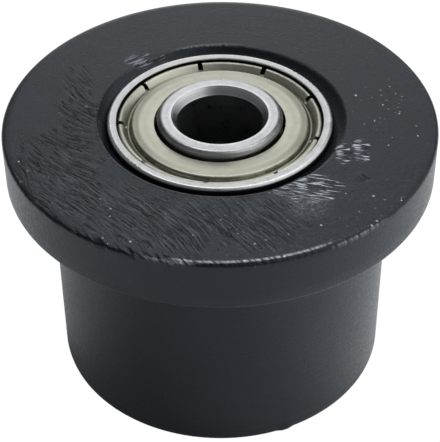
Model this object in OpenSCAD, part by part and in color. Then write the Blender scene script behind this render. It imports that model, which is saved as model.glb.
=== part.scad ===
// Flanged roller wheel that turns on two shielded deep-groove ball bearings, pressed in from its two ends.
// The axle line is Z and the flange is up. Z = 0 is the floor, under the lower bearing's inner ring.

/* [Wheel] */
// Diameter of the flange
flange_d = 50; // [48:0.5:60]
// Thickness of the flange
flange_t = 6.3; // [4:0.1:8]
// Diameter of the barrel that carries the load
barrel_d = 39.8; // [34:0.1:42]
// Height over the flange and the barrel
wheel_h = 33; // [28:0.5:45]
// Radius that use has put on the flange's top edge
rim_round = 0.35; // [0.2:0.05:1.5]
// Radius of the flange's lower edge and of the barrel's end
edge_round = 0.4; // [0.2:0.1:0.8]
// Radius in the corner between the flange and the barrel
root_fillet = 0.4; // [0.2:0.1:1.5]
// Width of the countersink round each bearing seat
lead_w = 1.4; // [0.6:0.1:2]
// Depth of that countersink
lead_h = 0.9; // [0.4:0.1:2]
// Diameter of the clear way between the two bearings
core_d = 21.5; // [17:0.5:22.5]

/* [Bearing rings] */
// Diameter of the axle hole
bore_d = 10; // [9:0.1:10.4]
// Outside diameter of the bearing
bearing_d = 26; // [25.8:0.1:26.6]
// Width of the outer ring
outer_w = 8; // [7.6:0.1:9]
// How far the inner ring stands out of the outer ring on each side
inner_proud = 0.5; // [0:0.05:0.8]
// Diameter of the inner ring beside the balls
inner_land_d = 14.5; // [14.2:0.1:14.8]
// Diameter of the outer ring beside the balls
outer_land_d = 20.9; // [20.6:0.1:21.1]
// Width of the lead-in cone at each end of the axle hole
bore_lead_w = 0.6; // [0.2:0.1:0.8]
// Depth of that cone
bore_lead_h = 0.95; // [0.4:0.05:1.2]
// Radius on the inner ring's outer corners
inner_round = 0.5; // [0.2:0.1:0.6]
// Radius on the outer ring's outer corners
outer_round = 0.4; // [0.1:0.05:0.6]

/* [Balls and cage] */
// Diameter of each ball
ball_d = 4.762; // [4.7:0.001:4.8]
// Number of balls in each bearing
ball_count = 7; // [5:1:8]
// Gap between a ball and each raceway
ball_play = 0.01; // [0.01:0.005:0.05]
// Radius of the raceways, as a share of the ball's diameter
groove_share = 0.52; // [0.515:0.005:0.53]
// Gap between a ball and its cage pocket
pocket_play = 0.1; // [0.05:0.01:0.15]
// Thickness of the cage's strip
cage_t = 0.3; // [0.2:0.05:0.35]
// Width of the cage's strip, across the pitch circle
cage_w = 2.1; // [1.6:0.1:2.2]
// Diameter of each rivet's shank
rivet_d = 0.8; // [0.6:0.1:1]
// Height of each rivet's head
rivet_head_h = 0.25; // [0.15:0.05:0.3]

/* [Shields] */
// Thickness of the shield's sheet
shield_t = 0.3; // [0.2:0.05:0.3]
// Depth of the shield's flat below the outer ring's face
shield_depth = 0.5; // [0.4:0.05:0.6]
// Gap between the shield and the inner ring
shield_gap = 0.35; // [0.1:0.05:0.4]
// Number of tabs that the shield's rim is crimped in
tab_count = 9; // [6:1:12]
// Width of the slot between two tabs
slot_w = 0.6; // [0.3:0.05:0.8]
// Angle of the first slot
slot_turn = 22; // [0:1:59]

/* [Hidden] */
$fn = 72;
past = 1;                                      // how far a cut runs past what it cuts
wheel_z = inner_proud;                         // the barrel's end
flange_z = wheel_h - flange_t;                 // the flange's lower face, from the barrel's end
flange_r = flange_d / 2;
barrel_r = barrel_d / 2;
core_r = core_d / 2;
core_lead = 0.3;                               // chamfer at each end of the clear way
bore_r = bore_d / 2;
bearing_r = bearing_d / 2;
outer_h = outer_w / 2;                         // half widths, because a bearing is drawn about its middle
inner_h = outer_h + inner_proud;
upper_z = wheel_z + wheel_h - outer_h;         // middle of the upper bearing, pressed in flush
lower_z = wheel_z + outer_h;                   // middle of the lower bearing, flush as well
ball_r = ball_d / 2;
ball_step = 360 / ball_count;
pitch_r = (bore_r + bearing_r) / 2;            // circle that the balls' centres run on
groove_r = ball_d * groove_share;              // radius of the raceways' section
groove_off = groove_r - ball_r - ball_play;    // how far that section's centre lies from the pitch circle
inner_land_r = inner_land_d / 2;
outer_land_r = outer_land_d / 2;
pocket_r = ball_r + pocket_play;
// Section of a shield, worked outwards from the axle hole: flat, shoulder, valley, slope and rolled rim
hole_r = inner_land_r + shield_gap;
flat_z = outer_h - shield_depth;               // the flat's outside face
shoulder_in = 0.1;                             // inside radius of the two convex bends
valley_in = 0.2;                               // inside radius of the valley
shoulder_r = 9.95;                             // where the flat ends
valley_r = shoulder_r + shoulder_in + shield_t + valley_in;
bend_z = flat_z - shoulder_in - shield_t;      // height of the shoulder's and the valley's centres
slope_turn = 37;                               // how far the slope leans out from upright
slope_l = 0.7;                                 // length of the slope
rim_at = [valley_r, bend_z]
    + (valley_in + shield_t + shoulder_in) * [cos(slope_turn), -sin(slope_turn)]
    + slope_l * [sin(slope_turn), cos(slope_turn)];
rim_turn = 40;                                 // where the rolled rim's bend ends, up from level
rim_tail = 0.43;                               // straight end of the rolled rim, which runs out and down
bend_steps = 8;                                // straight steps that each bend is drawn in
tail_at = rim_at + rim_tail * [sin(rim_turn), -cos(rim_turn)];
tail_out = tail_at + (shoulder_in + shield_t) * [cos(rim_turn), sin(rim_turn)];
tail_in = tail_at + shoulder_in * [cos(rim_turn), sin(rim_turn)];
rim_r = tail_out.x;                            // the rim's outside, caught in the outer ring's groove
rim_play = 0.01;                               // gap between the rim and the bottom of its groove
seat_z = bend_z - valley_in - shield_t;        // the ledge that the valley rests on
recess_r = 11.7;                               // the outer ring's wall between the ledge and the groove
groove_low = tail_in.y - 0.1;                  // the groove's two sides, from the bearing's middle
groove_high = tail_out.y + 0.1;
mouth_r = rim_r - 0.12;                        // the outer ring's mouth, which the rim is crimped behind

// Takes the sharp corner off a profile, with a round of radius r. The profile lies in the direction inward
module round_corner(at, inward, r) {
    translate(at)
        mirror([inward.x < 0 ? 1 : 0, 0])
            mirror([0, inward.y < 0 ? 1 : 0])
                difference() {
                    translate([-past, -past]) square(r + past);
                    translate([r, r]) circle(r);
                }
}

// One end of the wheel's inside: the bearing seat, the countersink at its mouth and a chamfer below it
module seat_profile(face_y) {
    translate([0, face_y - outer_w]) square([bearing_r, outer_w + past]);
    polygon([
        [0, face_y - lead_h],
        [bearing_r, face_y - lead_h],
        [bearing_r + lead_w * (1 + past / lead_h), face_y + past],
        [0, face_y + past]
    ]);
    polygon([
        [0, face_y - outer_w - core_lead],
        [core_r, face_y - outer_w - core_lead],
        [core_r + core_lead, face_y - outer_w],
        [0, face_y - outer_w]
    ]);
}

module wheel_profile() {
    difference() {
        union() {
            square([barrel_r, wheel_h]);
            translate([0, flange_z]) square([flange_r, flange_t]);
            translate([barrel_r, flange_z - root_fillet])
                difference() {
                    square(root_fillet);
                    translate([root_fillet, 0]) circle(root_fillet);
                }
        }
        round_corner([flange_r, wheel_h], [-1, -1], rim_round);
        round_corner([flange_r, flange_z], [-1, 1], edge_round);
        round_corner([barrel_r, 0], [-1, 1], edge_round);
        translate([0, -past]) square([core_r, wheel_h + 2 * past]);
        seat_profile(wheel_h);
        translate([0, wheel_h]) mirror([0, 1]) seat_profile(wheel_h);
    }
}

// Flange, barrel and both seats, turned in one piece from black plastic
module wheel() {
    color([0.17, 0.18, 0.19])
        translate([0, 0, wheel_z])
            rotate_extrude() wheel_profile();
}

// Room for a shield at one end of the outer ring: ledge, wall, groove and mouth
module shield_room() {
    polygon([
        [0, seat_z],
        [recess_r, seat_z],
        [recess_r, groove_low - 0.05],
        [rim_r + rim_play, groove_low],
        [rim_r + rim_play, groove_high],
        [mouth_r, outer_h - 0.15],
        [mouth_r, outer_h - 0.05],
        [mouth_r + 0.05 + past, outer_h + past],
        [0, outer_h + past]
    ]);
}

module outer_ring() {
    color([0.72, 0.73, 0.75])
        rotate_extrude()
            difference() {
                translate([outer_land_r, -outer_h]) square([bearing_r - outer_land_r, outer_w]);
                translate([pitch_r - groove_off, 0]) circle(groove_r);
                for (side = [0, 1]) mirror([0, side]) {
                    shield_room();
                    round_corner([bearing_r, outer_h], [-1, -1], outer_round);
                }
            }
}

module inner_ring() {
    color([0.72, 0.73, 0.75])
        rotate_extrude()
            difference() {
                translate([bore_r, -inner_h]) square([inner_land_r - bore_r, 2 * inner_h]);
                translate([pitch_r + groove_off, 0]) circle(groove_r);
                for (side = [0, 1]) mirror([0, side]) {
                    round_corner([inner_land_r, inner_h], [-1, -1], inner_round);
                    polygon([
                        [0, inner_h - bore_lead_h],
                        [bore_r, inner_h - bore_lead_h],
                        [bore_r + bore_lead_w * (1 + past / bore_lead_h), inner_h + past],
                        [0, inner_h + past]
                    ]);
                }
            }
}

// Points of one face of the sheet in a bend of radius r round the point at, from one angle to another
function bend(at, r, first, last, skip = 0) =
    [for (s = [skip : bend_steps])
        at + r * [cos(first + s * (last - first) / bend_steps), sin(first + s * (last - first) / bend_steps)]];

// The section goes out along the sheet's outside face and comes back along its inside face
module shield_profile() {
    shoulder_at = [shoulder_r, bend_z];
    valley_at = [valley_r, bend_z];
    polygon(concat(
        [[hole_r, flat_z - shield_t], [hole_r, flat_z]],
        bend(shoulder_at, shoulder_in + shield_t, 90, 0),
        bend(valley_at, valley_in, 180, 360 - slope_turn, skip = 1),
        bend(rim_at, shoulder_in + shield_t, 180 - slope_turn, rim_turn),
        [tail_out, tail_in],
        bend(rim_at, shoulder_in, rim_turn, 180 - slope_turn),
        bend(valley_at, valley_in + shield_t, 360 - slope_turn, 180),
        bend(shoulder_at, shoulder_in, 0, 90, skip = 1)
    ));
}

// The pressed shield. Slots part its rim into tabs, which are rolled out into the outer ring's groove
module shield() {
    color([0.66, 0.67, 0.62])
        difference() {
            rotate_extrude() shield_profile();
            for (k = [0 : tab_count - 1])
                rotate(slot_turn + k * 360 / tab_count)
                    translate([valley_r + valley_in / 2, -slot_w / 2, bend_z - valley_in / 2])
                        cube([rim_r - valley_r + past, slot_w, outer_h]);
        }
}

// Everything placed once for each ball, or between the balls with half = 0.5
module round_pitch(half = 0) {
    for (k = [1 : ball_count]) rotate((k - 1 + half) * ball_step) translate([pitch_r, 0, 0]) children();
}

// One half of the ribbon cage: a flat strip pressed up into a pocket over every ball
module cage() {
    outside_r = pocket_r + cage_t;
    color([0.6, 0.58, 0.52])
        difference() {
            intersection() {
                rotate_extrude()
                    translate([pitch_r - cage_w / 2, 0]) square([cage_w, outside_r + past]);
                union() {
                    translate([0, 0, -past]) cylinder(h = past + cage_t, r = bearing_r);
                    round_pitch() sphere(outside_r);
                }
            }
            round_pitch() sphere(pocket_r);
            round_pitch(0.5) translate([0, 0, -past]) cylinder(h = cage_t + 2 * past, d = rivet_d);
        }
}

// The rivets that hold the two cage halves together, one between each pair of balls
module rivets() {
    head_r = rivet_d;
    color([0.62, 0.6, 0.56])
        round_pitch(0.5) {
            cylinder(h = 2 * cage_t, d = rivet_d, center = true);
            for (side = [0, 1]) mirror([0, 0, side])
                translate([0, 0, cage_t])
                    intersection() {
                        translate([0, 0, rivet_head_h - head_r]) sphere(head_r);
                        cylinder(h = head_r, r = head_r);
                    }
        }
}

module ball(k) {
    color([0.8, 0.81, 0.82])
        rotate((k - 1) * ball_step) translate([pitch_r, 0, 0]) sphere(ball_r);
}

module upper_end() {
    translate([0, 0, upper_z]) children();
}

// The lower bearing is the same one turned over
module lower_end() {
    translate([0, 0, lower_z]) mirror([0, 0, 1]) children();
}

wheel();
upper_end() outer_ring();  // upper_outer_ring
upper_end() inner_ring();  // upper_inner_ring
upper_end() shield();  // upper_outer_shield
upper_end() mirror([0, 0, 1]) shield();  // upper_inner_shield
upper_end() cage();  // upper_outer_cage
upper_end() mirror([0, 0, 1]) cage();  // upper_inner_cage
upper_end() rivets();  // upper_rivets
lower_end() outer_ring();  // lower_outer_ring
lower_end() inner_ring();  // lower_inner_ring
lower_end() shield();  // lower_outer_shield
lower_end() mirror([0, 0, 1]) shield();  // lower_inner_shield
lower_end() cage();  // lower_outer_cage
lower_end() mirror([0, 0, 1]) cage();  // lower_inner_cage
lower_end() rivets();  // lower_rivets
for (k = [1 : ball_count]) {
    upper_end() ball(k);
    lower_end() ball(k);
}
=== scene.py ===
import math

import bpy
from mathutils import Matrix, Vector


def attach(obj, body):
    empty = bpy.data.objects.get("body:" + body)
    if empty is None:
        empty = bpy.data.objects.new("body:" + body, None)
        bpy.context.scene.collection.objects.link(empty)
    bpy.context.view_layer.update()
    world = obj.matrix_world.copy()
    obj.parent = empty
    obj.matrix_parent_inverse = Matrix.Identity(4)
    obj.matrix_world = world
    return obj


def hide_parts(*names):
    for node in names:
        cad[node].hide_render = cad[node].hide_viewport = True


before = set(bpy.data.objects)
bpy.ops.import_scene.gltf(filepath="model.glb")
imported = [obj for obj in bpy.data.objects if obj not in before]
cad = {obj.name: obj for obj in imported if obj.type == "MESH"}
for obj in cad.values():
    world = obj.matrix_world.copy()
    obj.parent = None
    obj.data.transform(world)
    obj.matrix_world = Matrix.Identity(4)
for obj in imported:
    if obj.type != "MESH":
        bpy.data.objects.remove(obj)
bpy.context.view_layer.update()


# The wheel itself: flange, barrel and both bearing seats, turned on a lathe from black cast nylon
# rod. A blunt tool tore the flange's top, the countersink round the bearing was cut by hand, and
# the flange's top edge has been worn and knocked in use. All its sizes are in millimetres.
MM = 0.001
WHEEL_LOW, WHEEL_TOP = 0.5, 33.5
MIDDLE = (WHEEL_LOW + WHEEL_TOP) / 2
FLANGE_R, FLANGE_LOW, RIM_ROUND = 25.0, 27.2, 0.35
BARREL_R, EDGE_ROUND, FILLET = 19.9, 0.4, 0.4
SEAT_R, SEAT_DEEP = 13.0, 8.0
UPPER_SEAT, LOWER_SEAT = WHEEL_TOP - SEAT_DEEP, WHEEL_LOW + SEAT_DEEP
LEAD_R, LEAD_H = 14.4, 0.9
LIP, LIP_H = 0.04, 0.025
CORE_R, CORE_LEAD = 10.75, 0.3


def add(tree, kind, inputs=(), **settings):
    """Adds a node. Its inputs are values, sockets or nodes, by place or by name."""
    made = tree.nodes.new(kind)
    for name, value in settings.items():
        setattr(made, name, value)
    for key, value in inputs.items() if isinstance(inputs, dict) else enumerate(inputs):
        if isinstance(value, bpy.types.Node):
            value = value.outputs[0]
        if isinstance(value, bpy.types.NodeSocket):
            tree.links.new(value, made.inputs[key])
        else:
            made.inputs[key].default_value = value
    return made


def linear(code):
    """A colour written in sRGB hex, as the linear numbers that a shader takes."""
    parts = [int(code[k:k + 2], 16) / 255 for k in (1, 3, 5)]
    return [p / 12.92 if p <= 0.04045 else ((p + 0.055) / 1.055) ** 2.4 for p in parts] + [1.0]


def line(first, last, parts):
    """Points from first up to, but not with, last."""
    return [tuple(a + (b - a) * k / parts for a, b in zip(first, last)) for k in range(parts)]


def arc(centre, radius, start, end, parts):
    """Points on a round from the angle start up to, but not with, end."""
    turns = [math.radians(start + (end - start) * k / parts) for k in range(parts)]
    return [(centre[0] + radius * math.cos(t), centre[1] + radius * math.sin(t)) for t in turns]


# The section of the wheel, as radius and height, from the middle of its hole up, over the flange,
# down the barrel and back. It has more points where more shows: on the flange's top, most of all
# outside FINE_R, and on its wall as far down as RIM_DEEP. FOOT_H is the barrel's last stretch.
FINE_R, RIM_DEEP, FOOT_H = 23.3, 0.9, 1.3
wheel_profile = (
    line((CORE_R, MIDDLE), (CORE_R, UPPER_SEAT - CORE_LEAD), 2)
    + line((CORE_R, UPPER_SEAT - CORE_LEAD), (CORE_R + CORE_LEAD, UPPER_SEAT), 1)
    + line((CORE_R + CORE_LEAD, UPPER_SEAT), (SEAT_R, UPPER_SEAT), 1)
    + line((SEAT_R, UPPER_SEAT), (SEAT_R, WHEEL_TOP - LEAD_H), 1)
    + line((SEAT_R, WHEEL_TOP - LEAD_H), (LEAD_R - LIP, WHEEL_TOP - LIP_H), 8)
    + line((LEAD_R - LIP, WHEEL_TOP - LIP_H), (LEAD_R + LIP, WHEEL_TOP), 2)
    + line((LEAD_R + LIP, WHEEL_TOP), (FINE_R, WHEEL_TOP), 50)
    + line((FINE_R, WHEEL_TOP), (FLANGE_R - RIM_ROUND, WHEEL_TOP), 12)
    + arc((FLANGE_R - RIM_ROUND, WHEEL_TOP - RIM_ROUND), RIM_ROUND, 90, 0, 7)
    + line((FLANGE_R, WHEEL_TOP - RIM_ROUND), (FLANGE_R, WHEEL_TOP - RIM_DEEP), 4)
    + line((FLANGE_R, WHEEL_TOP - RIM_DEEP), (FLANGE_R, FLANGE_LOW + EDGE_ROUND), 3)
    + arc((FLANGE_R - EDGE_ROUND, FLANGE_LOW + EDGE_ROUND), EDGE_ROUND, 0, -90, 3)
    + line((FLANGE_R - EDGE_ROUND, FLANGE_LOW), (BARREL_R + FILLET, FLANGE_LOW), 2)
    + arc((BARREL_R + FILLET, FLANGE_LOW - FILLET), -FILLET, -90, 0, 3)
    + line((BARREL_R, FLANGE_LOW - FILLET), (BARREL_R, WHEEL_LOW + FOOT_H), 4)
    + line((BARREL_R, WHEEL_LOW + FOOT_H), (BARREL_R, WHEEL_LOW + EDGE_ROUND), 2)
    + arc((BARREL_R - EDGE_ROUND, WHEEL_LOW + EDGE_ROUND), EDGE_ROUND, 0, -90, 4)
    + line((BARREL_R - EDGE_ROUND, WHEEL_LOW), (LEAD_R + LIP, WHEEL_LOW), 4)
    + line((LEAD_R + LIP, WHEEL_LOW), (LEAD_R - LIP, WHEEL_LOW + LIP_H), 1)
    + line((LEAD_R - LIP, WHEEL_LOW + LIP_H), (SEAT_R, WHEEL_LOW + LEAD_H), 1)
    + line((SEAT_R, WHEEL_LOW + LEAD_H), (SEAT_R, LOWER_SEAT), 1)
    + line((SEAT_R, LOWER_SEAT), (CORE_R + CORE_LEAD, LOWER_SEAT), 1)
    + line((CORE_R + CORE_LEAD, LOWER_SEAT), (CORE_R, LOWER_SEAT + CORE_LEAD), 1)
    + line((CORE_R, LOWER_SEAT + CORE_LEAD), (CORE_R, MIDDLE), 1)
    + [(CORE_R, MIDDLE)]
)


def group(name, **sockets):
    """An empty Geometry Nodes tree with a geometry input, the inputs named, and an output."""
    tree = bpy.data.node_groups.new(name, "GeometryNodeTree")
    tree.interface.new_socket("Geometry", in_out="OUTPUT", socket_type="NodeSocketGeometry")
    tree.interface.new_socket("Geometry", in_out="INPUT", socket_type="NodeSocketGeometry")
    for label, kind in sockets.items():
        tree.interface.new_socket(label, in_out="INPUT", socket_type="NodeSocket" + kind)
    return tree, tree.nodes.new("NodeGroupInput").outputs


def made_by(tree, name, points, material, **values):
    """Runs a tree on the points given and keeps what it makes as one plain mesh."""
    mesh = bpy.data.meshes.new(name)
    mesh.from_pydata([Vector(p) * MM for p in points], [], [])
    piece = bpy.data.objects.new(name, mesh)
    bpy.context.scene.collection.objects.link(piece)
    modifier = piece.modifiers.new(name, "NODES")
    modifier.node_group = tree
    wanted = dict(values, Material=material)
    for item in tree.interface.items_tree:
        if item.in_out == "INPUT" and item.name in wanted:
            modifier[item.identifier] = wanted[item.name]
    solved = piece.evaluated_get(bpy.context.evaluated_depsgraph_get())
    piece.data = bpy.data.meshes.new_from_object(solved)
    piece.data.name = name
    piece.modifiers.clear()
    piece.data.shade_smooth()
    return piece


# The steps of the turning crowd together at the front left, where there is most to show. That
# angle is in degrees, and points closer than SAME metres are one.
FRONT_LEFT = 242
SAME = 1e-7


def turning_tree():
    """Turns a profile, given as points in the X-Z plane, round the axle line."""
    tree, given = group("turned", Steps="Int", Crowd="Float", Material="Material")
    count = add(tree, "GeometryNodeAttributeDomainSize", {"Geometry": given["Geometry"]})
    across = add(tree, "ShaderNodeMath", [given["Steps"], 1.0], operation="ADD")
    grid = add(tree, "GeometryNodeMeshGrid",
               {"Vertices X": count.outputs["Point Count"], "Vertices Y": across})
    index = add(tree, "GeometryNodeInputIndex")
    share = add(tree, "ShaderNodeMath", [index, across], operation="DIVIDE")
    place = add(tree, "ShaderNodeMath", [share], operation="FLOOR")
    step = add(tree, "ShaderNodeMath", [index, across], operation="MODULO")
    turn = add(tree, "ShaderNodeMath", [step, math.tau], operation="MULTIPLY")
    turn = add(tree, "ShaderNodeMath", [turn, given["Steps"]], operation="DIVIDE")
    sparse = math.radians(FRONT_LEFT - 180)
    crowd = add(tree, "ShaderNodeMath", [turn, sparse], operation="SUBTRACT")
    crowd = add(tree, "ShaderNodeMath", [crowd], operation="SINE")
    angle = add(tree, "ShaderNodeMath", [crowd, given["Crowd"], turn], operation="MULTIPLY_ADD")
    here = add(tree, "GeometryNodeInputPosition")
    point = add(tree, "GeometryNodeSampleIndex",
                {"Geometry": given["Geometry"], "Value": here, "Index": place},
                data_type="FLOAT_VECTOR")
    spun = add(tree, "ShaderNodeVectorRotate", {"Vector": point, "Angle": angle},
               rotation_type="Z_AXIS")
    placed = add(tree, "GeometryNodeSetPosition", {"Geometry": grid, "Position": spun})
    joined = add(tree, "GeometryNodeMergeByDistance", {"Geometry": placed, "Distance": SAME})
    real = add(tree, "GeometryNodeRealizeInstances", [joined])
    dressed = add(tree, "GeometryNodeSetMaterial",
                  {"Geometry": real, "Material": given["Material"]})
    add(tree, "NodeGroupOutput", [dressed])
    return tree


# Where the tool tore the flange's top: centre, half size, direction of the tears in degrees, how
# much they curve, their spacing and depth, and how much of their ridges is pale fibre.
TEARS = [
    ((-16.8, 7.6), (2.2, 3.8), -60, 0.0, 0.5, 0.05, 0.0),
    ((-16.3, 1.6), (2.7, 3.9), -52, -0.02, 0.46, 0.14, 0.0),
    ((-17.3, -3.8), (4.0, 2.8), -34, -0.06, 0.46, 0.14, 0.0),
    ((-21.2, -7.5), (1.7, 4.6), -62, 0.04, 0.46, 0.09, 0.0),
    ((-16.6, -8.4), (4.8, 3.3), -39, -0.02, 0.44, 0.13, 0.04),
    ((-16.8, -13.2), (4.9, 3.6), -44, 0.0, 0.4, 0.1, 0.04),
    ((-11.6, -15.8), (5.4, 4.6), -45, 0.0, 0.4, 0.085, 0.05),
    ((-5.0, -19.0), (6.8, 5.2), -52, 0.02, 0.38, 0.09, 0.06),
    ((3.6, -18.0), (6.2, 5.4), -50, 0.0, 0.36, 0.07, 0.06),
    ((9.4, -12.7), (4.0, 2.7), -9, 0.0, 0.29, 0.07, 0.9),
    ((13.7, -6.8), (0.9, 2.2), -8, 0.0, 0.31, 0.07, 1.0),
    ((15.8, -6.0), (1.0, 2.9), -8, 0.0, 0.31, 0.07, 1.0),
    ((15.5, -11.0), (0.9, 1.0), -55, 0.0, 0.6, 0.12, 0.0),
    ((-8.6, 11.4), (3.2, 1.6), 38, 0.0, 0.45, 0.08, 0.4),
]
# A patch is ragged at its edge, in lobes of 1.7 mm, which is 0.6 waves of noise to the millimetre.
# That noise is raised where the patch is whole and lowered where it is gone, which are shares of
# its half size, and the tears begin and are full where the sum passes the two values of TORN.
# They wander by up to SWAY, in bows of about 4 mm.
RAGGED, TORN = 0.6, (0.42, 0.7)
GONE, WHOLE, LOWERED, RAISED = 1.5, 0.4, -0.4, 0.3
SWAY, SWAY_WAVES = 0.6, 0.25
# The tears are a noise drawn out along them: waves to their spacing, waves to a millimetre of
# their length, and how many more where they are fibre. Low noise is cut, what stands between is
# lifted by a share of the depth, and high noise is the pale fibre on the ridges.
WAVES, LONG_WAVES, FIBRE_WAVES = 1.8, 0.28, 0.26
CUT, LIFT, RIDGE = (0.47, 0.37), 0.15, (0.55, 0.64)
SMOOTH = {"interpolation_type": "SMOOTHSTEP"}


def furrows(tree, flat):
    """The torn furrows over a flat place in millimetres: their height, and how much of their ridges
    is pale.
    """
    ragged = add(tree, "ShaderNodeTexNoise", {"Vector": flat, "Scale": RAGGED, "Detail": 2.0},
                 noise_dimensions="2D")
    sway = add(tree, "ShaderNodeTexNoise", {"Vector": flat, "Scale": SWAY_WAVES, "Detail": 1.0},
               noise_dimensions="2D")
    sway = add(tree, "ShaderNodeMath", [sway, SWAY], operation="MULTIPLY")
    height = pale = 0.0
    for centre, half, turn, curve, gap, depth, pale_share in TEARS:
        away = add(tree, "ShaderNodeVectorMath", [flat, (*centre, 0.0)], operation="SUBTRACT")
        near = add(tree, "ShaderNodeVectorMath", [away, (*half, 1.0)], operation="DIVIDE")
        near = add(tree, "ShaderNodeVectorMath", [near], operation="LENGTH").outputs["Value"]
        near = add(tree, "ShaderNodeMapRange", [near, GONE, WHOLE, LOWERED, RAISED], **SMOOTH)
        near = add(tree, "ShaderNodeMath", [near, ragged], operation="ADD")
        near = add(tree, "ShaderNodeMapRange", [near, *TORN, 0.0, 1.0])
        lined = add(tree, "ShaderNodeVectorRotate",
                    {"Vector": away, "Angle": -math.radians(turn)}, rotation_type="Z_AXIS")
        lined = add(tree, "ShaderNodeSeparateXYZ", [lined])
        bow = add(tree, "ShaderNodeMath", [lined.outputs["X"], lined.outputs["X"]],
                  operation="MULTIPLY")
        bow = add(tree, "ShaderNodeMath", [bow, curve, sway], operation="MULTIPLY_ADD")
        bow = add(tree, "ShaderNodeMath", [bow, lined.outputs["Y"]], operation="ADD")
        bow = add(tree, "ShaderNodeMath", [bow, WAVES / gap], operation="MULTIPLY")
        along = add(tree, "ShaderNodeMath",
                    [lined.outputs["X"], LONG_WAVES + FIBRE_WAVES * pale_share], operation="MULTIPLY")
        drawn = add(tree, "ShaderNodeCombineXYZ", [along, bow, 0.0])
        drawn = add(tree, "ShaderNodeTexNoise", {"Vector": drawn, "Scale": 1.0, "Detail": 1.0},
                    noise_dimensions="2D")
        cut = add(tree, "ShaderNodeMapRange", [drawn, *CUT, LIFT * depth, -depth])
        height = add(tree, "ShaderNodeMath", [cut, near, height], operation="MULTIPLY_ADD")
        if pale_share:
            ridge = add(tree, "ShaderNodeMapRange", [drawn, *RIDGE, 0.0, pale_share])
            pale = add(tree, "ShaderNodeMath", [ridge, near, pale], operation="MULTIPLY_ADD")
    return height, pale


# What hand and use have done to the wheel. A pair is where a mark begins and is full, or is full
# and ends. A radius is from the axle line, a way points away from it, and a depth is below the top.
# The furrows run a little way down the countersink.
TORN_FROM = (13.3, 14.2)
# The countersink is wider at the back right than at the front left, and its far lip has a burr.
# HAIR lets the countersink's own lower edge count as part of it.
HAIR = 0.05
WIDE_WAY, WIDE_BY, WIDE_ENDS = (0.64, 0.77, 0.0), (-0.4, 0.35), (LEAD_R + 0.2, 18.0)
LIP_BURR_R, LIP_BURR_HALF, LIP_BURR_H = LEAD_R + 0.08, (0.04, 0.24), 0.1
LIP_BURR_AT, LIP_BURR_LONG = (-1.2, 14.4, 0.0), (2.2, 4.6)
# The top rolls off to its edge, most at the front and the back. The last two numbers for each are
# the least and the most of it.
ROLL, ROLL_CURVE, ROLL_DEPTHS = (23.9, FLANGE_R), 1.7, (1.6, 0.2)
FRONT_WAY, FRONT_ROLL = (-0.3, -0.954, 0.0), (0.4, 0.8, 0.35, 1.0)
BACK_WAY, BACK_ROLL = (-0.5, 0.866, 0.0), (0.1, 0.9, 0.35, 1.8)
# The edge is knocked: finely at the front, and in long slanting knocks at the front left.
SLANT_X, SLANT_Y = 0.85, 0.5
FINE_KNOCK_WAVES, FINE_KNOCK = 2.6, (0.46, 0.6, 0.0, 0.32)
LONG_KNOCK_WAVES, LONG_KNOCK = 1.05, (0.52, 0.6, 0.0, 1.0)
LONG_AT, LONG_ENDS = (-8.6, -23.2, 0.0), (7.5, 2.5)
FINE_FROM = (-11.0, -21.0, 0.12, 1.0)
KNOCKED_R, KNOCKED_DEPTHS = (24.0, 24.6), (0.7, 0.3)
# A burr is left on the barrel's lower edge.
SCAR_AT, SCAR_SIZE, SCAR_H = (7.6, -18.4, WHEEL_LOW), (0.4, 1.1), 0.16


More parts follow.
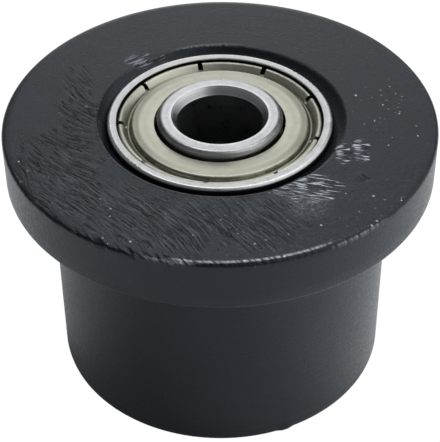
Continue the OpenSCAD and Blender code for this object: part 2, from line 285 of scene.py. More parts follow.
def tearing_tree():
    """The turned wheel with its furrows, its uneven countersink and its worn and knocked edge."""
    tree, given = group("torn_wheel", Steps="Int", Crowd="Float", Depth="Float", Worn="Float",
                        Notch="Float", Material="Material")
    body = add(tree, "GeometryNodeGroup", node_tree=turning_tree())
    for name in ("Geometry", "Steps", "Crowd", "Material"):
        tree.links.new(given[name], body.inputs[name])
    here = add(tree, "GeometryNodeInputPosition")
    mm = add(tree, "ShaderNodeVectorMath", {0: here, 3: 1 / MM}, operation="SCALE")
    axes = add(tree, "ShaderNodeSeparateXYZ", [mm])
    flat = add(tree, "ShaderNodeCombineXYZ", [axes.outputs["X"], axes.outputs["Y"], 0.0])
    radius = add(tree, "ShaderNodeVectorMath", [flat], operation="LENGTH").outputs["Value"]
    outward = add(tree, "ShaderNodeVectorMath", [flat], operation="NORMALIZE")
    height = axes.outputs["Z"]

    # the furrows
    on_top = add(tree, "ShaderNodeMapRange", [height, WHEEL_TOP - LEAD_H, WHEEL_TOP, 0.0, 1.0])
    clear = add(tree, "ShaderNodeMapRange", [radius, *TORN_FROM, 0.0, 1.0])
    torn, _ = furrows(tree, flat)
    torn = add(tree, "ShaderNodeMath", [torn, on_top], operation="MULTIPLY")
    torn = add(tree, "ShaderNodeMath", [torn, clear], operation="MULTIPLY")
    torn = add(tree, "ShaderNodeMath", [torn, given["Depth"]], operation="MULTIPLY")

    # the countersink's width and its burr
    upper = add(tree, "ShaderNodeMath", [height, WHEEL_TOP - LEAD_H - HAIR],
                operation="GREATER_THAN")
    towards = add(tree, "ShaderNodeVectorMath", [outward, WIDE_WAY], operation="DOT_PRODUCT")
    swell = add(tree, "ShaderNodeMapRange", [towards.outputs["Value"], -1.0, 1.0, *WIDE_BY])
    rising = add(tree, "ShaderNodeMapRange", [radius, SEAT_R, LEAD_R, 0.0, 1.0])
    falling = add(tree, "ShaderNodeMapRange", [radius, *WIDE_ENDS, 1.0, 0.0], **SMOOTH)
    wide = add(tree, "ShaderNodeMath", [swell, rising], operation="MULTIPLY")
    wide = add(tree, "ShaderNodeMath", [wide, falling], operation="MULTIPLY")
    wide = add(tree, "ShaderNodeMath", [wide, upper], operation="MULTIPLY")
    off_edge = add(tree, "ShaderNodeMath", [radius, LIP_BURR_R], operation="SUBTRACT")
    off_edge = add(tree, "ShaderNodeMath", [off_edge], operation="ABSOLUTE")
    burr = add(tree, "ShaderNodeMapRange", [off_edge, *LIP_BURR_HALF, LIP_BURR_H, 0.0])
    behind = add(tree, "ShaderNodeVectorMath", [flat, LIP_BURR_AT], operation="DISTANCE")
    behind = add(tree, "ShaderNodeMapRange",
                 [behind.outputs["Value"], *LIP_BURR_LONG, 1.0, 0.0])
    burr = add(tree, "ShaderNodeMath", [burr, behind], operation="MULTIPLY")
    burr = add(tree, "ShaderNodeMath", [burr, upper], operation="MULTIPLY")

    # the worn edge
    near = add(tree, "ShaderNodeVectorMath", [outward, FRONT_WAY], operation="DOT_PRODUCT")
    near = add(tree, "ShaderNodeMapRange", [near.outputs["Value"], *FRONT_ROLL], **SMOOTH)
    far = add(tree, "ShaderNodeVectorMath", [outward, BACK_WAY], operation="DOT_PRODUCT")
    far = add(tree, "ShaderNodeMapRange", [far.outputs["Value"], *BACK_ROLL], **SMOOTH)
    near = add(tree, "ShaderNodeMath", [near, far], operation="MAXIMUM")
    rolled = add(tree, "ShaderNodeMapRange", [radius, *ROLL, 0.0, 1.0])
    rolled = add(tree, "ShaderNodeMath", [rolled, ROLL_CURVE], operation="POWER")
    rolled = add(tree, "ShaderNodeMath", [rolled, near], operation="MULTIPLY")
    low, high = (WHEEL_TOP - depth for depth in ROLL_DEPTHS)
    top_only = add(tree, "ShaderNodeMapRange", [height, low, high, 0.0, 1.0])
    rolled = add(tree, "ShaderNodeMath", [rolled, top_only], operation="MULTIPLY")
    rolled = add(tree, "ShaderNodeMath", [rolled, given["Worn"]], operation="MULTIPLY")

    # the knocks across that edge, and the burr at the barrel's foot
    length = add(tree, "ShaderNodeMath", [axes.outputs["X"], SLANT_X], operation="MULTIPLY")
    slant = add(tree, "ShaderNodeMath", [axes.outputs["Y"], SLANT_Y], operation="MULTIPLY")
    slant = add(tree, "ShaderNodeMath", [length, slant], operation="ADD")
    spread = add(tree, "ShaderNodeCombineXYZ", [slant, 0.0, 0.0])
    fine = add(tree, "ShaderNodeTexNoise",
               {"Vector": spread, "Scale": FINE_KNOCK_WAVES, "Detail": 2.0})
    fine = add(tree, "ShaderNodeMapRange", [fine, *FINE_KNOCK])
    large = add(tree, "ShaderNodeTexNoise",
                {"Vector": spread, "Scale": LONG_KNOCK_WAVES, "Detail": 2.0})
    large = add(tree, "ShaderNodeMapRange", [large, *LONG_KNOCK])
    knocked = add(tree, "ShaderNodeVectorMath", [flat, LONG_AT], operation="DISTANCE")
    knocked = add(tree, "ShaderNodeMapRange", [knocked.outputs["Value"], *LONG_ENDS, 0.0, 1.0])
    large = add(tree, "ShaderNodeMath", [large, knocked], operation="MULTIPLY")
    front = add(tree, "ShaderNodeMapRange", [axes.outputs["Y"], *FINE_FROM])
    fine = add(tree, "ShaderNodeMath", [fine, front], operation="MULTIPLY")
    nick = add(tree, "ShaderNodeMath", [large, fine], operation="MAXIMUM")
    edge = add(tree, "ShaderNodeMapRange", [radius, *KNOCKED_R, 0.0, 1.0])
    low, high = (WHEEL_TOP - depth for depth in KNOCKED_DEPTHS)
    edge_low = add(tree, "ShaderNodeMapRange", [height, low, high, 0.0, 1.0])
    nick = add(tree, "ShaderNodeMath", [nick, edge], operation="MULTIPLY")
    nick = add(tree, "ShaderNodeMath", [nick, edge_low], operation="MULTIPLY")
    nick = add(tree, "ShaderNodeMath", [nick, given["Notch"]], operation="MULTIPLY")
    scar = add(tree, "ShaderNodeVectorMath", [mm, SCAR_AT], operation="DISTANCE")
    scar = add(tree, "ShaderNodeMapRange", [scar.outputs["Value"], *SCAR_SIZE, -SCAR_H, 0.0])
    nick = add(tree, "ShaderNodeMath", [nick, scar], operation="ADD")

    # knocks go in along the normal, the countersink widens outwards, and the rest goes up or down
    normal = add(tree, "GeometryNodeInputNormal")
    pushed = add(tree, "ShaderNodeMath", [nick, -MM], operation="MULTIPLY")
    pushed = add(tree, "ShaderNodeVectorMath", {0: normal, 3: pushed}, operation="SCALE")
    spread = add(tree, "ShaderNodeMath", [wide, MM], operation="MULTIPLY")
    spread = add(tree, "ShaderNodeVectorMath", {0: outward, 3: spread}, operation="SCALE")
    raised = add(tree, "ShaderNodeMath", [burr, torn], operation="ADD")
    raised = add(tree, "ShaderNodeMath", [raised, rolled], operation="SUBTRACT")
    raised = add(tree, "ShaderNodeMath", [raised, MM], operation="MULTIPLY")
    raised = add(tree, "ShaderNodeCombineXYZ", [0.0, 0.0, raised])
    offset = add(tree, "ShaderNodeVectorMath", [pushed, spread], operation="ADD")
    offset = add(tree, "ShaderNodeVectorMath", [offset, raised], operation="ADD")
    shaped = add(tree, "GeometryNodeSetPosition", {"Geometry": body, "Offset": offset})
    real = add(tree, "GeometryNodeRealizeInstances", [shaped])
    dressed = add(tree, "GeometryNodeSetMaterial",
                  {"Geometry": real, "Material": given["Material"]})
    add(tree, "NodeGroupOutput", [dressed])
    return tree


def new_material(name):
    """A material with its tree, its Principled BSDF and its Object coordinates in millimetres."""
    material = bpy.data.materials.new(name)
    material.use_nodes = True
    tree = material.node_tree
    tree.nodes.clear()
    shader = add(tree, "ShaderNodeBsdfPrincipled")
    add(tree, "ShaderNodeOutputMaterial", [shader])
    place = add(tree, "ShaderNodeTexCoord").outputs["Object"]
    mm = add(tree, "ShaderNodeVectorMath", {0: place, 3: 1 / MM}, operation="SCALE")
    return material, tree, shader, mm


# Black cast nylon: the two blacks of its mottling, the countersink, which was cut last and clean,
# so is smoother than the top, and is painted darker as shade, and the pale of torn fibres, which
# also gives the painted highlights. The top's marks set in between two depths and two radii, and
# the cut ends between two more. Nearly all of a noise is within SPAN.
NYLON_DEEP, NYLON_PLAIN, NYLON_CUT_SHADE, NYLON_FIBRE_AND_HIGHLIGHT = "#0A0C10", "#181B22", "#030405", "#C3CAD4"
NYLON_IOR, NYLON_GLOSS, NYLON_GLOSS_TONE = 1.53, 0.4, "#E2EEFC"
NYLON_ROUGH, CUT_ROUGH, CUT_SHARE = (0.24, 0.44), 0.1, 0.8
TOP_DEPTHS, TOP_FROM, CUT_ENDS = (0.8, 0.2), (13.3, 13.8), (14.3, 14.6)
SPAN = (0.3, 0.7)
# Noise waves to the millimetre: the grain is 0.36 mm, and the mottling 4.5 mm. The lathe's feed is
# about 0.1 mm a turn, and it is drawn at 0.36 mm, so that it shows.
GRAIN, MOTTLE, FEED = 2.8, 0.22, 2.8
FEED_SHARE, RELIEF, SPECK_RELIEF, BUMP = 0.45, 0.044, 0.06, 0.8
# Single torn specks of all sizes: one in each cell of 0.6 mm that draws one. Most are in a cloud
# at the right, and a few at the front. A speck's size and soft edge are in cells.
SPECKS, SPECK_SIZE, SPECK_EDGE, CLUMPS = 1.7, 0.22, 0.09, 0.5
CLOUD_AT, CLOUD_HALF, CLOUD_ENDS, CLOUD_SHARE = (19.4, 1.0, 0.0), (3.2, 5.0, 1.0), (0.2, 1.4), 0.75
FEW_FROM, FEW_SHARE = (-4.0, -18.0), 0.12
# A painted reflection of the window makes a pale patch at the front right, and painted glints
# brighten fine fibres all over the front.
REFLECTION_AT, REFLECTION_ENDS, REFLECTION, REFLECTION_BREAKUP = (9.2, -15.2, 0.0), (0.5, 3.6), 0.2, (0.45, 0.62, 0.1, 1.0)
GLINT, GLINT_FROM = (0.6, 0.74, 0.0, 0.16), (-7.0, -14.0)
# Where edges are painted pale, partly as scuffs and partly as painted highlights: the radius, half
# width and strength, from which X to which X, and 1 at the back or -1 at the front. The first three
# are just inside the flange's edge and on it, in slanting stripes, and the last one is the
# countersink's far lip.
SCUFFS_AND_HIGHLIGHTS = [
    (24.8, 0.2, 0.6, -8.5, -3.0, -1),
    (24.46, 0.2, 0.9, -5.0, 11.0, -1),
    (24.93, 0.12, 0.6, 12.0, 17.0, -1),
    (14.64, 0.14, 0.4, -4.6, 1.6, 1),
]
EDGE_MARK_CORE, EDGE_MARK_FADE, PALEST = 0.35, 1.0, 0.7
STRIPE_SLANT, STRIPE_WAVES, STRIPES = 0.8, 2.1, (0.4, 0.58, 0.1, 1.0)


def turned_nylon():
    """Black cast nylon as it comes off a lathe: a satin near-black with fine tool lines that turn
    with the light, and pale blue-grey fibres where it is torn. The same pale gives painted
    highlights, painted glints and a painted reflection of the window, and painted shade darkens
    its countersink."""
    material, tree, shader, mm = new_material("turned_black_nylon")
    axes = add(tree, "ShaderNodeSeparateXYZ", [mm])
    flat = add(tree, "ShaderNodeCombineXYZ", [axes.outputs["X"], axes.outputs["Y"], 0.0])
    radius = add(tree, "ShaderNodeVectorMath", [flat], operation="LENGTH").outputs["Value"]
    low, high = (WHEEL_TOP - depth for depth in TOP_DEPTHS)
    on_top = add(tree, "ShaderNodeMapRange", [axes.outputs["Z"], low, high, 0.0, 1.0])
    clear = add(tree, "ShaderNodeMapRange", [radius, *TOP_FROM, 0.0, 1.0])
    on_top = add(tree, "ShaderNodeMath", [on_top, clear], operation="MULTIPLY")
    torn, pale_share = furrows(tree, flat)

    # specks
    specks = add(tree, "ShaderNodeTexVoronoi", {"Vector": flat, "Scale": SPECKS},
                 voronoi_dimensions="2D")
    draw = add(tree, "ShaderNodeSeparateColor", [specks.outputs["Color"]])
    speck = add(tree, "ShaderNodeMath",
                [draw.outputs["Green"], -SPECK_SIZE, specks.outputs["Distance"]],
                operation="MULTIPLY_ADD")
    speck = add(tree, "ShaderNodeMapRange", [speck, 0.0, SPECK_EDGE, 1.0, 0.0])
    cloud = add(tree, "ShaderNodeTexNoise", {"Vector": flat, "Scale": CLUMPS, "Detail": 2.0},
                noise_dimensions="2D")
    away = add(tree, "ShaderNodeVectorMath", [flat, CLOUD_AT], operation="SUBTRACT")
    away = add(tree, "ShaderNodeVectorMath", [away, CLOUD_HALF], operation="DIVIDE")
    away = add(tree, "ShaderNodeVectorMath", [away], operation="LENGTH").outputs["Value"]
    often = add(tree, "ShaderNodeMapRange", [away, *CLOUD_ENDS, CLOUD_SHARE, 0.0])
    few = add(tree, "ShaderNodeMapRange", [axes.outputs["Y"], *FEW_FROM, 0.0, FEW_SHARE])
    often = add(tree, "ShaderNodeMath", [often, few], operation="MAXIMUM")
    often = add(tree, "ShaderNodeMath", [often, cloud], operation="MULTIPLY")
    there = add(tree, "ShaderNodeMath", [draw.outputs["Red"], often], operation="LESS_THAN")
    speck = add(tree, "ShaderNodeMath", [speck, there], operation="MULTIPLY")
    speck = add(tree, "ShaderNodeMath", [speck, draw.outputs["Blue"]], operation="MULTIPLY")
    pale_share = add(tree, "ShaderNodeMath", [pale_share, speck], operation="MAXIMUM")

    # painted reflection and painted glints
    grain = add(tree, "ShaderNodeTexNoise",
                {"Vector": mm, "Scale": GRAIN, "Detail": 3.0, "Roughness": 0.7})
    # a painted reflection of the window, mixed in with the pale of the fibres
    reflection = add(tree, "ShaderNodeVectorMath", [flat, REFLECTION_AT], operation="DISTANCE")
    reflection = add(tree, "ShaderNodeMapRange",
                [reflection.outputs["Value"], *REFLECTION_ENDS, REFLECTION, 0.0], **SMOOTH)
    reflection_breakup = add(tree, "ShaderNodeMapRange", [grain, *REFLECTION_BREAKUP])
    pale_share = add(tree, "ShaderNodeMath", [reflection, reflection_breakup, pale_share], operation="MULTIPLY_ADD")
    # painted glints: flecks of the grain painted pale across the front, on fine fibres
    glint = add(tree, "ShaderNodeMapRange", [grain, *GLINT])
    ahead = add(tree, "ShaderNodeMapRange", [axes.outputs["Y"], *GLINT_FROM, 0.0, 1.0])
    pale_share = add(tree, "ShaderNodeMath", [glint, ahead, pale_share], operation="MULTIPLY_ADD")
    pale_share = add(tree, "ShaderNodeMath", [pale_share, on_top], operation="MULTIPLY")

    # scuffs and painted highlights on the edges
    slant = add(tree, "ShaderNodeMath", [axes.outputs["Y"], STRIPE_SLANT, axes.outputs["X"]],
                operation="MULTIPLY_ADD")
    slant = add(tree, "ShaderNodeCombineXYZ", [slant, 0.0, 0.0])
    slant = add(tree, "ShaderNodeTexNoise",
                {"Vector": slant, "Scale": STRIPE_WAVES, "Detail": 3.0}, noise_dimensions="2D")
    slant = add(tree, "ShaderNodeMapRange", [slant, *STRIPES])
    for at, half, amount, first, last, facing in SCUFFS_AND_HIGHLIGHTS:
        edge_mark = add(tree, "ShaderNodeMath", [radius, at], operation="SUBTRACT")
        edge_mark = add(tree, "ShaderNodeMath", [edge_mark], operation="ABSOLUTE")
        edge_mark = add(tree, "ShaderNodeMapRange", [edge_mark, EDGE_MARK_CORE * half, half, amount, 0.0])
        centre, reach = (first + last) / 2, (last - first) / 2
        part = add(tree, "ShaderNodeMath", [axes.outputs["X"], centre], operation="SUBTRACT")
        part = add(tree, "ShaderNodeMath", [part], operation="ABSOLUTE")
        part = add(tree, "ShaderNodeMapRange",
                   [part, reach - EDGE_MARK_FADE, reach + EDGE_MARK_FADE, 1.0, 0.0])
        there = add(tree, "ShaderNodeMapRange", [axes.outputs["Y"], 0.0, facing, 0.0, 1.0])
        there = add(tree, "ShaderNodeMath", [there, on_top], operation="MULTIPLY")
        part = add(tree, "ShaderNodeMath", [part, there], operation="MULTIPLY")
        part = add(tree, "ShaderNodeMath", [part, slant], operation="MULTIPLY")
        pale_share = add(tree, "ShaderNodeMath", [edge_mark, part, pale_share], operation="MULTIPLY_ADD")
    pale_share = add(tree, "ShaderNodeMath", [pale_share, PALEST], operation="MULTIPLY", use_clamp=True)

    # colour and roughness
    mottle = add(tree, "ShaderNodeTexNoise",
                 {"Vector": mm, "Scale": MOTTLE, "Detail": 4.0, "Roughness": 0.7})
    shade = add(tree, "ShaderNodeMix",
                {0: mottle, 6: linear(NYLON_DEEP), 7: linear(NYLON_PLAIN)}, data_type="RGBA")
    # the countersink's smoothness is real; its darker colour is painted shade
    clean_and_shaded = add(tree, "ShaderNodeMapRange", [radius, *CUT_ENDS, CUT_SHARE, 0.0])
    clean_and_shaded = add(tree, "ShaderNodeMath", [clean_and_shaded, on_top], operation="MULTIPLY")
    shade = add(tree, "ShaderNodeMix",
                {0: clean_and_shaded, 6: shade.outputs[2], 7: linear(NYLON_CUT_SHADE)}, data_type="RGBA")
    shade = add(tree, "ShaderNodeMix",
                {0: pale_share, 6: shade.outputs[2], 7: linear(NYLON_FIBRE_AND_HIGHLIGHT)}, data_type="RGBA")
    rough = add(tree, "ShaderNodeMapRange", [grain, *SPAN, *NYLON_ROUGH])
    rough = add(tree, "ShaderNodeMix", {0: clean_and_shaded, 2: rough, 3: CUT_ROUGH})

    # relief
    feed = add(tree, "ShaderNodeCombineXYZ", [radius, axes.outputs["Z"], 0.0])
    lines = add(tree, "ShaderNodeTexNoise", {"Vector": feed, "Scale": FEED, "Detail": 2.0},
                noise_dimensions="2D")
    relief = add(tree, "ShaderNodeMath", [lines, FEED_SHARE, grain], operation="MULTIPLY_ADD")
    relief = add(tree, "ShaderNodeMath", [relief, RELIEF], operation="MULTIPLY")
    marks = add(tree, "ShaderNodeMath", [speck, SPECK_RELIEF, torn], operation="MULTIPLY_ADD")
    marks = add(tree, "ShaderNodeMath", [marks, on_top], operation="MULTIPLY")
    relief = add(tree, "ShaderNodeMath", [relief, marks], operation="ADD")
    bump = add(tree, "ShaderNodeBump", {"Strength": BUMP, "Distance": MM, "Height": relief})
    shader.inputs["IOR"].default_value = NYLON_IOR
    shader.inputs["Specular IOR Level"].default_value = NYLON_GLOSS
    shader.inputs["Specular Tint"].default_value = linear(NYLON_GLOSS_TONE)
    tree.links.new(shade.outputs[2], shader.inputs["Base Color"])
    tree.links.new(rough.outputs[0], shader.inputs["Roughness"])
    tree.links.new(bump.outputs[0], shader.inputs["Normal"])
    return material


# 820 steps round, and how strong the furrows, the roll-off and the knocks are
wheel = made_by(tearing_tree(), "turned_wheel", [(r, 0.0, z) for r, z in wheel_profile],
                turned_nylon(), Steps=820, Crowd=0.35, Depth=0.4, Worn=0.16, Notch=0.16)
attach(wheel, "wheel")
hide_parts("wheel")


# The bearings' rings: hardened chrome steel, turned, then ground on every running face and on both
# ends, which leaves fine lines round the axle and a bright grey. The inner ring's corner and side
# are left as hardened, so they are duller, and painted shade darkens them further, most at the left
# and right; its edge at the cone has a painted highlight.
ENDS = ("upper", "lower")
# Each ring of colour: its radius, half width, strength, colour, and how much of it is only at the
# left and right. The outer ring has painted shade: a grey line near its rim for a fine step, and a
# dark edge at its mouth. The inner ring has its corner darkened, partly as a dull finish and partly
# as painted shade, a painted highlight on its edge at the cone, and painted shade on the cone.
OUTER_SHADE = [(12.1, 0.14, 0.25, "#8E8F90", 0.0), (11.72, 0.16, 0.8, "#1C1B18", 0.0)]
INNER_DULLNESS_SHADE_AND_HIGHLIGHT = [(7.02, 0.42, 0.85, "#3A3A38", 0.65), (5.72, 0.12, 0.7, "#F2F3F4", 0.0),
                (5.2, 0.32, 0.3, "#6E6E6C", 0.0)]
# Old grease and painted shade darken what lies inside the bearing: distances from the middle
# of the wheel.
GREASE_AND_SHADE, GREASE_AND_SHADE_TONE = (16.42, 16.2), "#14120F"
# All the steel is clouded, in clouds of 1.1 mm, which is 0.9 waves of noise to the millimetre. The
# clouds and the marks blend its two colours, and the clouds break up the painted rings of shade and
# light and dull it in places. SCRATCH_H is in metres.
CLOUDING, SCRATCH_H = 0.9, 0.00003
BLENDED, BROKEN, ROUGHER = (0.75, 1.25, 0.0, 1.0), (0.3, 0.6, 0.6, 1.0), (-0.05, 0.07)
RING_CORE, SIDEWAYS = 0.6, (0.1, 0.8)


def steel(name, low, high, roughness, fine, strength, shade_light_and_tone_rings=(), greased_and_shaded=0.0):
    """Steel with fine marks round the axle line: its two colours, its roughness, the marks' waves
    to the millimetre and their strength, its rings of painted shade and light, and how far grease
    and painted shade darken it inside the bearing. Real marks are a few hundredths of a millimetre
    apart;
    they are drawn at 0.25 mm or more, so that they show."""
    material, tree, shader, mm = new_material(name)
    axes = add(tree, "ShaderNodeSeparateXYZ", [mm])
    flat = add(tree, "ShaderNodeCombineXYZ", [axes.outputs["X"], axes.outputs["Y"], 0.0])
    radius = add(tree, "ShaderNodeVectorMath", [flat], operation="LENGTH").outputs["Value"]
    ground = add(tree, "ShaderNodeCombineXYZ", [radius, axes.outputs["Z"], 0.0])
    lines = add(tree, "ShaderNodeTexNoise",
                {"Vector": ground, "Scale": fine, "Detail": 3.0, "Roughness": 0.6},
                noise_dimensions="2D")
    cloud = add(tree, "ShaderNodeTexNoise",
                {"Vector": mm, "Scale": CLOUDING, "Detail": 5.0, "Roughness": 0.65})
    blend = add(tree, "ShaderNodeMath", [lines, cloud], operation="ADD")
    blend = add(tree, "ShaderNodeMapRange", [blend, *BLENDED])
    shade = add(tree, "ShaderNodeMix", {0: blend, 6: linear(low), 7: linear(high)},
                data_type="RGBA").outputs[2]
    aside = add(tree, "ShaderNodeMath", [axes.outputs["X"], radius], operation="DIVIDE")
    aside = add(tree, "ShaderNodeMath", [aside, aside], operation="MULTIPLY")
    uneven = add(tree, "ShaderNodeMapRange", [cloud, *BROKEN])
    # the rings paint shade and highlights into the colour, and the inner ring's corner is partly a
    # dull finish
    for at, half, amount, tone, sides in shade_light_and_tone_rings:
        off = add(tree, "ShaderNodeMath", [radius, at], operation="SUBTRACT")
        off = add(tree, "ShaderNodeMath", [off], operation="ABSOLUTE")
        ring_share = add(tree, "ShaderNodeMapRange", [off, RING_CORE * half, half, amount, 0.0])
        ring_share = add(tree, "ShaderNodeMath", [ring_share, uneven], operation="MULTIPLY")
        share = add(tree, "ShaderNodeMapRange", [aside, *SIDEWAYS, 1.0 - sides, 1.0])
        ring_share = add(tree, "ShaderNodeMath", [ring_share, share], operation="MULTIPLY")
        shade = add(tree, "ShaderNodeMix", {0: ring_share, 6: shade, 7: linear(tone)},
                    data_type="RGBA").outputs[2]
    # grease and painted shade inside the bearing
    if greased_and_shaded:
        deep = add(tree, "ShaderNodeMath", [axes.outputs["Z"], MIDDLE], operation="SUBTRACT")
        deep = add(tree, "ShaderNodeMath", [deep], operation="ABSOLUTE")
        deep = add(tree, "ShaderNodeMapRange", [deep, *GREASE_AND_SHADE, 0.0, greased_and_shaded])
        shade = add(tree, "ShaderNodeMix", {0: deep, 6: shade, 7: linear(GREASE_AND_SHADE_TONE)},
                    data_type="RGBA").outputs[2]
    rough = add(tree, "ShaderNodeMapRange",
                [cloud, *SPAN, *(roughness + more for more in ROUGHER)])
    bump = add(tree, "ShaderNodeBump",
               {"Strength": strength, "Distance": SCRATCH_H, "Height": lines})
    shader.inputs["Metallic"].default_value = 1.0
    tree.links.new(shade, shader.inputs["Base Color"])
    tree.links.new(rough.outputs[0], shader.inputs["Roughness"])
    tree.links.new(bump.outputs[0], shader.inputs["Normal"])
    return material


def wear(material, *names):
    """Gives CAD nodes a material in all their slots."""
    for name in names:
        for slot in cad[name].material_slots:
            slot.material = material


# ground bearing steel: a bright, even grey that the grinding lines make satin
outer_steel = steel("ground_outer_ring_steel", "#C2C4C6", "#E2E3E4", 0.3, 4.0, 0.3,
                    OUTER_SHADE, greased_and_shaded=0.9)
wear(outer_steel, *(f"{end}_outer_ring" for end in ENDS))
inner_steel = steel("ground_inner_ring_steel", "#C2C4C8", "#E0E1E3", 0.3, 4.0, 0.3,
                    INNER_DULLNESS_SHADE_AND_HIGHLIGHT)
wear(inner_steel, *(f"{end}_inner_ring" for end in ENDS))


# The shields: thin cold-rolled strip, pressed to shape, with a rim slit in nine places and rolled
# out into the groove of the outer ring. The oil left on the strip gives it a faint yellow. Painted
# shade darkens the valley inside the rim, most at the left and right, and makes the fold beyond
# it nearly black.
SHIELD_SHADE = [(10.05, 0.85, 0.55, "#55543F", 0.9), (10.3, 0.17, 0.8, "#1A1914", 0.1)]
sheet_steel = steel("pressed_shield_steel", "#B7B8AA", "#C9CABB", 0.34, 1.6, 0.12,
                    SHIELD_SHADE)
wear(sheet_steel, *(f"{end}_{side}_shield" for end in ENDS for side in ("outer", "inner")))


# Inside each bearing: two halves of a ribbon cage pressed from mild steel strip, held together by
# seven rivets, and seven polished balls. None of it shows while the shields are on. The strip is a
# dull, oily grey, and the balls are like mirrors.
strip_steel = steel("oiled_cage_steel", "#98948A", "#B3AFA2", 0.38, 1.2, 0.2)
wear(strip_steel,
     *(f"{end}_{part}" for end in ENDS for part in ("outer_cage", "inner_cage", "rivets")))
ball_steel = steel("polished_ball_steel", "#D2D4D6", "#E2E3E4", 0.12, 0.8, 0.03)
wear(ball_steel, *(name for name in cad if "_ball_" in name))


# The studio: a pale floor and a white backdrop, a window behind the wheel, a key lamp at its right
# and a long strip overhead that shows in the metal. The camera stands where the photograph was
# taken from.
scene = bpy.context.scene
scene.view_settings.view_transform = "Standard"
WHITE = "#FFFFFF"
SHINE = 0.1


def shown_white(tree, share):
    """How much of a plain white shows: a share to the camera, and a little to gloss and glass."""
    seen = add(tree, "ShaderNodeLightPath")
    camera_ray = add(tree, "ShaderNodeMath", [seen.outputs["Is Camera Ray"], share],
                     operation="MULTIPLY")
    shiny = add(tree, "ShaderNodeMath",
                [seen.outputs["Is Glossy Ray"], seen.outputs["Is Transmission Ray"]],
                operation="MAXIMUM")
    shiny = add(tree, "ShaderNodeMath", [shiny, SHINE], operation="MULTIPLY")
    return add(tree, "ShaderNodeMath", [camera_ray, shiny], operation="MAXIMUM")


# The room that lights the wheel is dim but for a bright wall behind, and a bright corner at the
# right. The wall ends at a height that slopes with X, is narrow, and is a little brighter low down.
WALL_SLOPE, WALL_TOP, WALL_FOOT = 0.2, (0.60, 0.72, 1.0, 0.1), (0.48, 0.6, 1.16, 1.0)
WALL_AT, WALL_HALF, WALL_BEHIND = 0.02, (0.08, 0.46, 1.0, 0.05), (-0.1, 0.45, 0.0, 1.02)
CORNER_WAY, CORNER = (0.79, -0.1, 0.6), (0.6, 0.88, 0.0, 1.0)
DIM = (0.2, -0.7, 0.03, 0.06)
world = bpy.data.worlds.new("studio")
scene.world = world
world.use_nodes = True
sky = world.node_tree
sky.nodes.clear()
way = add(sky, "ShaderNodeTexCoord").outputs["Generated"]
aim = add(sky, "ShaderNodeSeparateXYZ", [way])
rise = add(sky, "ShaderNodeMath", [aim.outputs["X"], WALL_SLOPE, aim.outputs["Z"]],
           operation="MULTIPLY_ADD")
low = add(sky, "ShaderNodeMapRange", [rise, *WALL_TOP], **SMOOTH)
aside = add(sky, "ShaderNodeMath", [aim.outputs["X"], WALL_AT], operation="SUBTRACT")
aside = add(sky, "ShaderNodeMath", [aside], operation="ABSOLUTE")
aside = add(sky, "ShaderNodeMapRange", [aside, *WALL_HALF], **SMOOTH)
back = add(sky, "ShaderNodeMapRange", [aim.outputs["Y"], *WALL_BEHIND], **SMOOTH)
foot = add(sky, "ShaderNodeMapRange", [rise, *WALL_FOOT])
back = add(sky, "ShaderNodeMath", [back, foot], operation="MULTIPLY")
back = add(sky, "ShaderNodeMath", [back, low], operation="MULTIPLY")
back = add(sky, "ShaderNodeMath", [back, aside], operation="MULTIPLY")
right = add(sky, "ShaderNodeVectorMath", [way, CORNER_WAY], operation="DOT_PRODUCT")
right = add(sky, "ShaderNodeMapRange", [right.outputs["Value"], *CORNER], **SMOOTH)
lit = add(sky, "ShaderNodeMath", [back, right], operation="MAXIMUM")
dim = add(sky, "ShaderNodeMapRange", [aim.outputs["Y"], *DIM])
lit = add(sky, "ShaderNodeMath", [lit, dim], operation="ADD")
room = add(sky, "ShaderNodeMix", {0: shown_white(sky, 1.0), 2: lit, 3: 1.0})
room = add(sky, "ShaderNodeBackground", {"Color": linear(WHITE), "Strength": room})
add(sky, "ShaderNodeOutputWorld", [room])

# The floor is white paper, 6 m across. It lies 0.02 mm below what the wheel stands on, so that the
# two faces don't flicker through each other. The camera sees most of it as plain white.
HALF, SUNK = 3.0, -0.00002
PAPER, PAPER_GLOW, PAPER_WHITE = "#EDF1F5", 1.04, 0.97
floor_mesh = bpy.data.meshes.new("floor")
corners = [(x * HALF, y * HALF, SUNK) for x, y in ((-1, -1), (1, -1), (1, 1), (-1, 1))]
floor_mesh.from_pydata(corners, [], [(0, 1, 2, 3)])
floor = bpy.data.objects.new("floor", floor_mesh)
scene.collection.objects.link(floor)
paper = bpy.data.materials.new("white_paper")
paper.use_nodes = True
sheet = paper.node_tree
sheet.nodes.clear()
matt = add(sheet, "ShaderNodeBsdfDiffuse", {"Color": linear(PAPER)})
glow = add(sheet, "ShaderNodeEmission", {"Color": linear(WHITE), "Strength": PAPER_GLOW})
mixed = add(sheet, "ShaderNodeMixShader", [shown_white(sheet, PAPER_WHITE), matt, glow])
add(sheet, "ShaderNodeOutputMaterial", [mixed])
floor_mesh.materials.append(paper)

# The lamps look at the middle of the flange from 0.8 m away. Their sizes are in metres.
LAMP_AIM, LAMP_AWAY = Vector((0, 0, 0.03)), 0.8


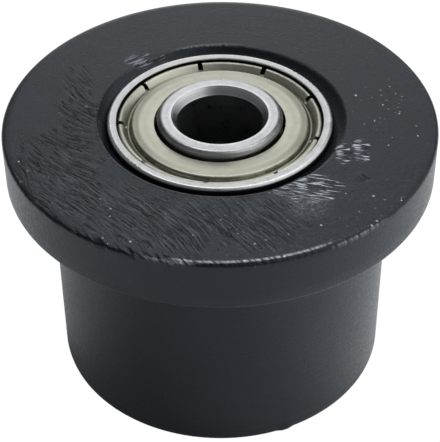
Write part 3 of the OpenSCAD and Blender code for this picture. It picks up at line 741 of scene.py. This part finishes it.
def soft_lamp(name, azimuth, elevation, size, power, mirrored):
    """An area lamp, its angles in degrees. Only a mirrored one shows as a highlight."""
    lamp = bpy.data.lights.new(name, "AREA")
    lamp.shape = "RECTANGLE"
    lamp.size, lamp.size_y = size
    lamp.energy = power
    holder = bpy.data.objects.new(name, lamp)
    scene.collection.objects.link(holder)
    a, e = math.radians(azimuth), math.radians(elevation)
    towards = Vector((math.cos(a) * math.cos(e), math.sin(a) * math.cos(e), math.sin(e)))
    holder.location = LAMP_AIM + LAMP_AWAY * towards
    aimed = LAMP_AIM - holder.location
    holder.rotation_euler = aimed.to_track_quat("-Z", "Y").to_euler()
    holder.visible_camera = False
    holder.visible_glossy = mirrored


soft_lamp("window", 75, 40, (0.3, 0.3), 3.0, False)
soft_lamp("key", 24, 40, (0.4, 0.4), 3.2, False)
soft_lamp("strip", 82, 61, (0.6, 0.2), 1.1, True)

# The camera's place and turn come from a fit of the flange's and barrel's outlines: how far it is
# raised round the flange's centre and how far away, in radians and metres, how it is turned from
# looking at that centre, and its focal length in pixels of the photograph.
RISE, AWAY, PITCH, YAW, ROLL_TURN, FOCAL = 0.6449, 0.17033, 0.0698, -0.0005, -0.0073, 1479.36
PHOTO_H = 442
SENSOR = 36.0
camera = bpy.data.objects.new("camera", bpy.data.cameras.new("camera"))
scene.collection.objects.link(camera)
camera.data.sensor_width = SENSOR
camera.data.lens = FOCAL / PHOTO_H * SENSOR
camera.data.clip_start = 0.01
down = RISE + PITCH
ahead = Vector((math.sin(YAW) * math.cos(down), math.cos(YAW) * math.cos(down), -math.sin(down)))
level = Vector((math.cos(YAW), -math.sin(YAW), 0))
over = level.cross(ahead)
side = math.cos(ROLL_TURN) * level + math.sin(ROLL_TURN) * over
top = -math.sin(ROLL_TURN) * level + math.cos(ROLL_TURN) * over
camera.matrix_world = Matrix((side, top, -ahead)).transposed().to_4x4()
camera.location = (0, -AWAY * math.cos(RISE), AWAY * math.sin(RISE) + WHEEL_TOP * MM)
scene.camera = camera
